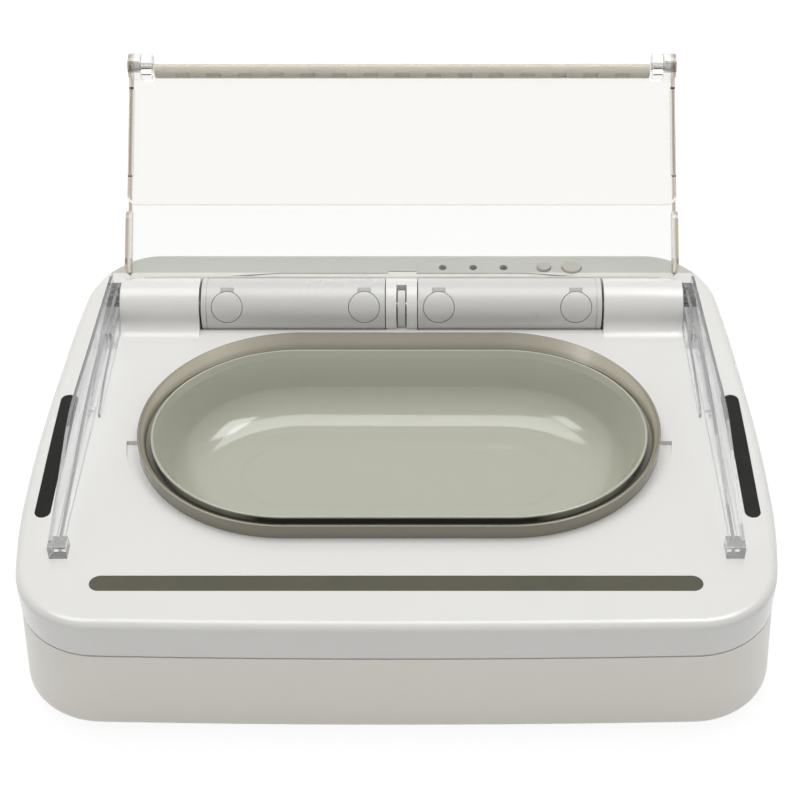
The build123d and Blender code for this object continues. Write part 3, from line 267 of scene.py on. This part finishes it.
def moulded_plastic(name, colour, roughness=0.28, ripple=0.00002, coat=0.0, rear=None):
    """Injection-moulded plastic: colour drift, patchy gloss, a fine ripple and, if asked, a grey-green rear
    deck with a painted gap shadow along its front.
    """
    sizes = bpy.context.scene.feeder_sizes
    finish = Finish(name)
    drift = finish.noise(9.0, detail=3.0)
    shade = finish.mixed(drift, tinted(colour, 0.975), tinted(colour, 1.02))
    if rear:
        # Grey-green colour on the top face of the rear deck, between two given y values.
        front, back = REAR_DECK_Y
        above = finish.band("Z", REAR_DECK_Z, REAR_DECK_Z + 0.001)
        rear_tint = finish.math("MULTIPLY", finish.band("Y", front, front + 0.001), above)
        rear_tint = finish.math("MULTIPLY", rear_tint, finish.band("Y", back, back - 0.001))
        shade = finish.mixed(rear_tint, shade, rear)
        # Painted gap shadow: a thin dark line along the front of the rear deck, standing in for the shade in
        # the gap to the hinge cover.
        shade = finish.mixed(finish.seam(front, GAP_SHADOW_DROP), shade, tinted(rear, 0.18))
    finish.feed(shade, "Base Color")
    smear = finish.noise(38.0, detail=4.0, roughness=0.6)
    finish.feed(finish.between(smear, roughness * 0.85, roughness * 1.2, 0.3, 0.7), "Roughness")
    finish.set(IOR=1.5, Coat_Weight=coat, Coat_Roughness=0.06)
    finish.bump(finish.noise(1.0 / sizes.grain, detail=1.0), ripple)
    return finish.material


def bowl_plastic(name, colour):
    """Glossy plastic of the bowl: a faint raised oval on its floor and a painted shadow, a dark band on its
    outer face below the lip at the front.
    """
    finish = Finish(name)
    drift = finish.noise(9.0, detail=3.0)
    shade = finish.mixed(drift, tinted(colour, 0.975), tinted(colour, 1.02))
    # Painted shadow: a dark band on the bowl's outer face just below its lip, on the front part only,
    # standing in for the shade in the gap under the lip.
    side = finish.oval(BOWL_RIM_MIDDLE_Y, BOWL_RIM_HALF, *BOWL_LIP_SHADOW_SIDE)
    painted_edge_shade = finish.math("MULTIPLY", side, finish.band("Z", *BOWL_LIP_SHADOW_Z))
    painted_edge_shade = finish.math("MULTIPLY", painted_edge_shade, finish.band("Y", FRONT_SHADE_Y[1], FRONT_SHADE_Y[0]))
    finish.feed(finish.mixed(painted_edge_shade, shade, tinted(colour, 0.14)), "Base Color")
    smear = finish.noise(38.0, detail=4.0, roughness=0.6)
    finish.feed(finish.between(smear, 0.10, 0.14, 0.3, 0.7), "Roughness")
    finish.set(IOR=1.5, Coat_Weight=0.2, Coat_Roughness=0.07)
    finish.bump(finish.oval(BOWL_MIDDLE_Y, BOWL_FLOOR_HALF, *BOWL_FLOOR_RIDGE), 0.0005)
    return finish.material


def collar_plastic(name, colour):
    """Plastic of the collar with painted light and shade: paler inside the funnel towards its ends, darker
    outside, and a painted shadow on its foot, strongest at the front.
    """
    finish = Finish(name)
    drift = finish.noise(9.0, detail=3.0)
    # Painted shade: a darker copy of the colour on the outside of the collar.
    outside = finish.mixed(drift, tinted(colour, 0.84), tinted(colour, 0.90))
    # Painted light: a paler copy inside the funnel, growing towards its two ends.
    ends = finish.band("X", *COLLAR_LIT_ENDS, absolute=True)
    inside = finish.mixed(ends, tinted(colour, 1.05), tinted(colour, 1.75))
    within = finish.math("SUBTRACT", 1.0, finish.oval(COLLAR_MIDDLE_Y, COLLAR_HALF, *COLLAR_WALL))
    # Painted shadow on the foot inside the collar, strongest at the front and fading towards the back.
    foot = finish.math("MULTIPLY", within, finish.band("Z", *COLLAR_FOOT_SHADOW))
    foot = finish.math("MULTIPLY", foot, finish.between(finish.place(1), 1.0, 0.35, *FRONT_SHADE_Y))
    shade = finish.mixed(within, outside, inside)
    finish.feed(finish.mixed(foot, shade, tinted(colour, 0.16)), "Base Color")
    smear = finish.noise(38.0, detail=4.0, roughness=0.6)
    finish.feed(finish.between(smear, 0.18, 0.26, 0.3, 0.7), "Roughness")
    finish.set(IOR=1.5, Coat_Weight=0.2, Coat_Roughness=0.06)
    finish.bump(finish.noise(1.0 / bpy.context.scene.feeder_sizes.grain, detail=1.0), 0.00002)
    return finish.material


def clear_plastic(name, colour, roughness=0.03, painted_edge_shade=None):
    """Clear moulded plastic with faint flow waves and, if asked, a deeper tint along its sides as painted
    shade for the dark refraction there; its shadow is pale.
    """
    finish = Finish(name)
    finish.set(Base_Color=(*colour, 1.0), Transmission_Weight=1.0, IOR=1.49)
    # Painted shade along the two sides of the lid, standing in for the dark refraction lines there.
    if painted_edge_shade:
        sides = finish.band("X", *LID_SIDE_SHADE, absolute=True)
        finish.feed(finish.mixed(sides, colour, painted_edge_shade), "Base Color")
    smear = finish.noise(30.0, detail=4.0)
    finish.feed(finish.between(smear, roughness * 0.5, roughness * 1.6, 0.3, 0.7), "Roughness")
    finish.bump(finish.noise(60.0, detail=1.0), 0.00002, strength=0.5)
    clear = finish.nodes.new("ShaderNodeBsdfTransparent")
    clear.inputs["Color"].default_value = (*tinted(colour, 0.94), 1.0)
    mix = finish.nodes.new("ShaderNodeMixShader")
    rays = finish.nodes.new("ShaderNodeLightPath")
    finish.links.new(rays.outputs["Is Shadow Ray"], mix.inputs["Fac"])
    finish.links.new(finish.shader.outputs["BSDF"], mix.inputs[1])
    finish.links.new(clear.outputs["BSDF"], mix.inputs[2])
    finish.links.new(mix.outputs["Shader"], finish.output.inputs["Surface"])
    return finish.material


def smoked_window(name, colour, level=0.5):
    """Dark plastic that looks black, with a deep gloss and faint swirls."""
    finish = Finish(name)
    swirl = finish.noise(22.0, detail=3.0)
    finish.feed(finish.mixed(swirl, tinted(colour, 0.8), tinted(colour, 1.3)), "Base Color")
    finish.feed(finish.between(finish.noise(70.0, detail=3.0), 0.12, 0.22, 0.3, 0.7), "Roughness")
    finish.set(IOR=1.5, Specular_IOR_Level=level, Coat_Weight=0.3 * level, Coat_Roughness=0.05)
    finish.bump(finish.noise(400.0, detail=1.0), 0.00001)
    return finish.material


def soft_rubber(name, colour):
    """Matt rubber with a fine sand texture and paler rubbed patches."""
    finish = Finish(name)
    rubbed = finish.noise(120.0, detail=4.0)
    finish.feed(finish.mixed(rubbed, tinted(colour, 0.9), tinted(colour, 1.15)), "Base Color")
    finish.feed(finish.between(rubbed, 0.55, 0.8, 0.3, 0.7), "Roughness")
    finish.bump(finish.noise(2600.0, detail=2.0), 0.00004)
    return finish.material


def turned_metal(name, colour, roughness=0.3):
    """Bright metal with fine lines round the bar and a slight stain."""
    finish = Finish(name)
    lines = finish.noise(900.0, detail=2.0, stretch=(6.0, 0.4, 0.4))
    stain = finish.noise(60.0, detail=3.0)
    finish.feed(finish.mixed(stain, tinted(colour, 0.85), tinted(colour, 1.05)), "Base Color")
    finish.feed(finish.between(lines, roughness * 0.7, roughness * 1.3, 0.3, 0.7), "Roughness")
    finish.set(Metallic=1.0)
    finish.bump(lines, 0.00001)
    return finish.material


def circuit_board(name):
    """Green solder mask over a weave with faint copper tracks."""
    finish = Finish(name)
    tracks = finish.nodes.new("ShaderNodeTexBrick")
    tracks.inputs["Scale"].default_value = 180.0
    tracks.inputs["Mortar Size"].default_value = 0.02
    finish.links.new(finish.coordinates, tracks.inputs["Vector"])
    tracks.inputs["Color1"].default_value = (0.010, 0.085, 0.030, 1.0)
    tracks.inputs["Color2"].default_value = (0.012, 0.105, 0.036, 1.0)
    tracks.inputs["Mortar"].default_value = (0.05, 0.20, 0.06, 1.0)
    finish.feed(tracks.outputs["Color"], "Base Color")
    finish.feed(finish.between(finish.noise(300.0), 0.25, 0.45, 0.3, 0.7), "Roughness")
    finish.bump(tracks.outputs["Fac"], 0.00003)
    return finish.material


def copper_winding(name):
    """Enamelled wire: a stack of fine copper turns."""
    finish = Finish(name)
    turns = finish.nodes.new("ShaderNodeTexWave")
    turns.bands_direction = "Z"
    turns.inputs["Scale"].default_value = 900.0
    turns.inputs["Distortion"].default_value = 0.4
    finish.links.new(finish.coordinates, turns.inputs["Vector"])
    finish.feed(finish.mixed(turns.outputs["Fac"], (0.30, 0.10, 0.035), (0.62, 0.27, 0.10)), "Base Color")
    finish.feed(finish.between(finish.noise(500.0), 0.2, 0.4, 0.3, 0.7), "Roughness")
    finish.set(Metallic=0.9)
    finish.bump(turns.outputs["Fac"], 0.0001)
    return finish.material


def cell_jacket(name):
    """Printed metal sleeve of a dry cell: a dark body with a faint drift in colour."""
    finish = Finish(name)
    drift = finish.noise(90.0, detail=3.0)
    finish.feed(finish.mixed(drift, (0.020, 0.022, 0.026), (0.034, 0.036, 0.042)), "Base Color")
    finish.feed(finish.between(finish.noise(300.0, detail=3.0), 0.22, 0.42, 0.3, 0.7), "Roughness")
    finish.set(Metallic=0.6, Coat_Weight=0.4)
    finish.bump(finish.noise(1500.0), 0.00001)
    return finish.material


# ---- surfaces worked out here --------------------------------------------------------------------
def made(name, points, faces, material):
    """An object at the origin with the given corners, faces and finish, shaded smooth."""
    mesh = bpy.data.meshes.new(name)
    mesh.from_pydata(points.tolist(), [], faces.tolist())
    mesh.polygons.foreach_set("use_smooth", np.ones(len(mesh.polygons), dtype=bool))
    mesh.materials.append(material)
    mesh.update()
    piece = bpy.data.objects.new(name, mesh)
    bpy.context.collection.objects.link(piece)
    return piece


def tube_faces(rings, sides):
    """Quads between the neighbouring rings of a tube; its two end rings shrink to points that close it."""
    ring, side = np.meshgrid(np.arange(rings - 1), np.arange(sides), indexing="ij")
    here = ring * sides + side
    beside = ring * sides + (side + 1) % sides
    return np.stack([here, here + sides, beside + sides, beside], axis=-1).reshape(-1, 4)


# ---- which finish each piece of the frame takes --------------------------------------------------
def dress(names, material):
    """Gives every named node of the frame one material."""
    for name in names:
        mesh = frame["nodes"][name].data
        mesh.materials.clear()
        mesh.materials.append(material)


class FEEDER_OT_case(bpy.types.Operator):
    """Finishes the two halves of the case, the door, the hinge and the small outside pieces"""

    bl_idname = "feeder.case"
    bl_label = "Case"

    def execute(self, context):
        colours = context.scene.feeder_colours
        rear = tuple(colours.rear_deck)
        upper = moulded_plastic("upper_case_gloss", colours.upper_case, roughness=0.22, coat=0.15, rear=rear)
        lower = moulded_plastic("lower_case_satin", colours.lower_case, roughness=0.33)
        # Painted shade: the hinge takes a darker copy of the upper case colour, standing in for the barrel
        # lying in shade under the open lid.
        hinge = moulded_plastic("hinge_shaded_satin", tinted(colours.upper_case, 0.83), roughness=0.3)
        dress(["upper_shell"], upper)
        dress(["lower_shell", "battery_door", "battery_box"], lower)
        dress(["lid_hub_left", "lid_hub_right", "hub_screw_plugs", "hinge_centre_web"], hinge)
        button = moulded_plastic("button_satin", colours.button, roughness=0.35)
        dress(["small_button", "large_button"], button)
        dress(["front_window"], smoked_window("front_window_smoke", colours.front_window))
        black = smoked_window("side_window_black", colours.side_window, level=0.2)
        dress(["left_window", "right_window"], black)
        dress(["rubber_feet"], soft_rubber("foot_rubber", (0.02, 0.02, 0.02)))
        dress(["indicator_lenses"], clear_plastic("lens_clear", (0.80, 0.82, 0.76), roughness=0.1))
        return {"FINISHED"}


class FEEDER_OT_bowl(bpy.types.Operator):
    """Finishes the bowl, its collar and the well below it"""

    bl_idname = "feeder.bowl"
    bl_label = "Bowl and collar"

    def execute(self, context):
        colours = context.scene.feeder_colours
        dress(["food_bowl"], bowl_plastic("bowl_gloss", colours.bowl))
        dress(["bowl_collar"], collar_plastic("collar_gloss_painted_shade", colours.collar))
        dress(["bowl_well"], moulded_plastic("well_satin", colours.collar, roughness=0.35))
        return {"FINISHED"}


class FEEDER_OT_lid(bpy.types.Operator):
    """Finishes the clear lid, its seal strip and the clear side walls"""

    bl_idname = "feeder.lid"
    bl_label = "Clear lid and walls"

    def execute(self, context):
        colours = context.scene.feeder_colours
        painted_edge_shade = tuple(colours.lid_edge_shade)
        dress(["lid_rear_panel"], clear_plastic("lid_panel_clear", tinted(colours.clear, 0.975), painted_edge_shade=painted_edge_shade))
        dress(["lid_front_flap"], clear_plastic("lid_flap_clear", tinted(colours.clear, 1.02), painted_edge_shade=painted_edge_shade))
        guard = clear_plastic("guard_clear", colours.guard, roughness=0.02)
        dress(["left_side_wall", "right_side_wall"], guard)
        dress(["lid_seal_strip"], soft_rubber("seal_rubber", colours.seal))
        return {"FINISHED"}


def lid_bead(half, radius, out, above, sides=12, rings=60):
    """A rod along X with domed ends, carried by the open lid.

    Each ring is a circle of the given radius times sqrt(1 - u^24), where u runs from -1 to 1 along the rod,
    so that it stays full almost to its ends and closes there. Its axis stands the given way out from the
    hinge axis along the lid, and the given way in front of the lid's middle plane.
    """
    u = np.sin(np.linspace(-np.pi / 2, np.pi / 2, rings))[:, None]
    turn = np.linspace(0.0, 2 * np.pi, sides, endpoint=False)[None, :]
    size = radius * np.sqrt(np.maximum(0.0, 1.0 - u ** 24))
    along = out + size * np.cos(turn)
    front = above + size * np.sin(turn)
    x = half * u + 0.0 * turn
    y = HINGE[0] + along * math.cos(LID_TILT) - front * math.sin(LID_TILT)
    z = HINGE[1] + along * math.sin(LID_TILT) + front * math.cos(LID_TILT)
    points = np.stack([x, y, z], axis=-1).reshape(-1, 3)
    return points, tube_faces(rings, sides)


class FEEDER_OT_beads(bpy.types.Operator):
    """Adds the rounded bead along the foot of the lid's rear panel, in opaque white: the bead is real, and
    its white partly paints the bright highlight line there
    """

    bl_idname = "feeder.beads"
    bl_label = "Lid foot bead"

    def execute(self, context):
        # Partly a painted highlight: opaque white stands in for the bright line along the lid's foot, on a
        # bead that is really there.
        bead_highlight_white = moulded_plastic("lid_bead_highlight_white", (0.86, 0.86, 0.84), roughness=0.12, coat=0.3)
        points, faces = lid_bead(BEAD_HALF, BEAD_RADIUS, BEAD_OUT, BEAD_FRONT)
        piece = made("lid_foot_bead", points, faces, bead_highlight_white)
        clean = bmesh.new()
        clean.from_mesh(piece.data)
        bmesh.ops.remove_doubles(clean, verts=clean.verts, dist=0.000001)
        bmesh.ops.recalc_face_normals(clean, faces=clean.faces)
        clean.to_mesh(piece.data)
        clean.free()
        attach(piece, "lid")
        return {"FINISHED"}


class FEEDER_OT_works(bpy.types.Operator):
    """Finishes the drive, the boards, the coil and the cells inside the case"""

    bl_idname = "feeder.works"
    bl_label = "Drive, boards and cells"

    def execute(self, context):
        steel = turned_metal("bright_steel", (0.55, 0.55, 0.54))
        dress(["hub_shaft", "hub_screws", "flap_hinge_pins", "reduction_axle", "motor", "case_screws"], steel)
        dress(["battery_contacts"], steel)
        dress(["hinge_end_bushes", "motor_pinion"], turned_metal("bronze", (0.55, 0.36, 0.16)))
        gear = moulded_plastic("gear_plastic", (0.62, 0.60, 0.52), roughness=0.4)
        dress(["drive_gear", "reduction_gear", "gear_bracket"], gear)
        sensors = ["front_sensor_board", "left_sensor_board", "right_sensor_board"]
        dress(sensors + ["main_board", "control_board"], circuit_board("circuit_board"))
        parts = moulded_plastic("component_black", (0.02, 0.02, 0.022), roughness=0.5)
        dress(["main_board_parts", "control_board_parts"], parts)
        dress(["infrared_emitters"], clear_plastic("emitter_clear", (0.55, 0.50, 0.62), roughness=0.05))
        dress(["antenna_coil"], copper_winding("copper_winding"))
        dress(["battery_cells"], cell_jacket("cell_jacket"))
        return {"FINISHED"}


# ---- stage ---------------------------------------------------------------------------------------
def seen_rays(nodes, links):
    """1 for rays that see the backdrop, straight, in gloss or through clear plastic, before a matt bounce."""
    rays = nodes.new("ShaderNodeLightPath")
    seen = rays.outputs["Is Camera Ray"]
    for kind in ("Is Transmission Ray", "Is Glossy Ray"):
        either = nodes.new("ShaderNodeMath")
        either.operation = "MAXIMUM"
        links.new(seen, either.inputs[0])
        links.new(rays.outputs[kind], either.inputs[1])
        seen = either.outputs[0]
    straight = nodes.new("ShaderNodeMath")
    straight.operation = "LESS_THAN"
    links.new(rays.outputs["Diffuse Depth"], straight.inputs[0])
    straight.inputs[1].default_value = 0.5
    both = nodes.new("ShaderNodeMath")
    both.operation = "MULTIPLY"
    links.new(seen, both.inputs[0])
    links.new(straight.outputs[0], both.inputs[1])
    return both.outputs[0]


def white_world():
    """Even white light; the camera, gloss and clear plastic see a white backdrop."""
    world = bpy.data.worlds.new("studio")
    bpy.context.scene.world = world
    world.use_nodes = True
    nodes, links = world.node_tree.nodes, world.node_tree.links
    nodes.clear()
    output = nodes.new("ShaderNodeOutputWorld")
    fill = nodes.new("ShaderNodeBackground")
    fill.inputs["Color"].default_value = (1.0, 1.0, 1.0, 1.0)
    fill.inputs["Strength"].default_value = 0.47
    seen = nodes.new("ShaderNodeBackground")
    seen.inputs["Color"].default_value = (1.0, 1.0, 1.0, 1.0)
    seen.inputs["Strength"].default_value = 1.0
    backdrop = seen_rays(nodes, links)
    mix = nodes.new("ShaderNodeMixShader")
    links.new(backdrop, mix.inputs["Fac"])
    links.new(fill.outputs[0], mix.inputs[1])
    links.new(seen.outputs[0], mix.inputs[2])
    links.new(mix.outputs[0], output.inputs["Surface"])


def floor_material():
    """White floor that glows just enough to look white and still shows the soft shadow."""
    finish = Finish("floor_white")
    drift = finish.noise(3.0)
    finish.feed(finish.mixed(drift, (0.80, 0.80, 0.80), (0.82, 0.82, 0.82)), "Base Color")
    finish.set(Roughness=0.9)
    glow = finish.nodes.new("ShaderNodeEmission")
    glow.inputs["Color"].default_value = (1.0, 1.0, 1.0, 1.0)
    glow.inputs["Strength"].default_value = 1.12
    share = finish.nodes.new("ShaderNodeMath")
    share.operation = "MULTIPLY"
    share.inputs[1].default_value = 0.80
    finish.links.new(seen_rays(finish.nodes, finish.links), share.inputs[0])
    mix = finish.nodes.new("ShaderNodeMixShader")
    finish.links.new(share.outputs[0], mix.inputs["Fac"])
    finish.links.new(finish.shader.outputs["BSDF"], mix.inputs[1])
    finish.links.new(glow.outputs["Emission"], mix.inputs[2])
    finish.links.new(mix.outputs["Shader"], finish.output.inputs["Surface"])
    return finish.material


def softbox(name, place, target, size, power, glossy_only=False):
    """A rectangular lamp at a place, facing a target; it may show in gloss without adding light."""
    lamp = bpy.data.lights.new(name, "AREA")
    lamp.shape = "RECTANGLE"
    lamp.size, lamp.size_y = size
    lamp.energy = power
    holder = bpy.data.objects.new(name, lamp)
    bpy.context.collection.objects.link(holder)
    holder.location = place
    holder.visible_diffuse = not glossy_only
    holder.visible_transmission = False
    step = [b - a for a, b in zip(place, target)]
    flat = math.hypot(step[0], step[1])
    holder.rotation_euler = (math.atan2(flat, -step[2]), 0.0, math.atan2(-step[0], step[1]))


class FEEDER_OT_stage(bpy.types.Operator):
    """Makes the floor, the lamps, the world and the camera"""

    bl_idname = "feeder.stage"
    bl_label = "Stage"

    def execute(self, context):
        sizes = context.scene.feeder_sizes
        context.scene.view_settings.view_transform = "Standard"
        white_world()
        mesh = bpy.data.meshes.new("floor")
        corners = [(x * FLOOR_HALF, y * FLOOR_HALF, 0) for x, y in ((-1, -1), (1, -1), (1, 1), (-1, 1))]
        mesh.from_pydata(corners, [], [(0, 1, 2, 3)])
        mesh.materials.append(floor_material())
        floor = bpy.data.objects.new("floor", mesh)
        context.collection.objects.link(floor)
        floor.location.z = -FLOOR_DROP
        softbox("key_softbox", (-0.05, 0.25, 1.5), (0.0, 0.0, 0.05), (1.3, 0.9), 13.0)
        softbox("left_softbox", (-0.62, -0.16, 1.06), (0.0, 0.0, 0.05), (0.42, 0.34), 2.2, glossy_only=True)
        softbox("right_softbox", (0.50, 0.00, 1.10), (0.0, 0.0, 0.05), (0.56, 0.46), 4.6, glossy_only=True)
        camera = bpy.data.cameras.new("camera")
        camera.lens = sizes.camera_lens
        camera.sensor_width = 36.0
        camera.clip_start = 0.05
        camera.clip_end = 50.0
        holder = bpy.data.objects.new("camera", camera)
        context.collection.objects.link(holder)
        camera.shift_x = sizes.camera_shift
        holder.location = (sizes.camera_x, sizes.camera_y, sizes.camera_z)
        holder.rotation_euler = (math.pi / 2 - sizes.camera_elevation, 0.0, 0.0)
        context.scene.camera = holder
        return {"FINISHED"}


class FEEDER_PT_panel(bpy.types.Panel):
    """Sizes, colours and the steps that build the looks"""

    bl_idname = "FEEDER_PT_panel"
    bl_label = "Pet Feeder"
    bl_space_type = "VIEW_3D"
    bl_region_type = "UI"
    bl_category = "Feeder"

    def draw(self, context):
        layout = self.layout
        for group in (context.scene.feeder_colours, context.scene.feeder_sizes):
            for name in group.__annotations__:
                layout.prop(group, name)
        for operator in OPERATORS:
            layout.operator(operator.bl_idname)


OPERATORS = (FEEDER_OT_case, FEEDER_OT_bowl, FEEDER_OT_lid, FEEDER_OT_beads, FEEDER_OT_works, FEEDER_OT_stage)
CLASSES = (FeederColours, FeederSizes, *OPERATORS, FEEDER_PT_panel)


def register():
    """Registers the classes and hangs the settings on the scene."""
    for item in CLASSES:
        bpy.utils.register_class(item)
    bpy.types.Scene.feeder_colours = bpy.props.PointerProperty(type=FeederColours)
    bpy.types.Scene.feeder_sizes = bpy.props.PointerProperty(type=FeederSizes)


def unregister():
    """Removes the settings and the classes."""
    del bpy.types.Scene.feeder_sizes
    del bpy.types.Scene.feeder_colours
    for item in reversed(CLASSES):
        bpy.utils.unregister_class(item)


def main():
    """Builds everything in order."""
    register()
    for operator in OPERATORS:
        group, name = operator.bl_idname.split(".")
        getattr(getattr(bpy.ops, group), name)()


if __name__ == "__main__":
    main()
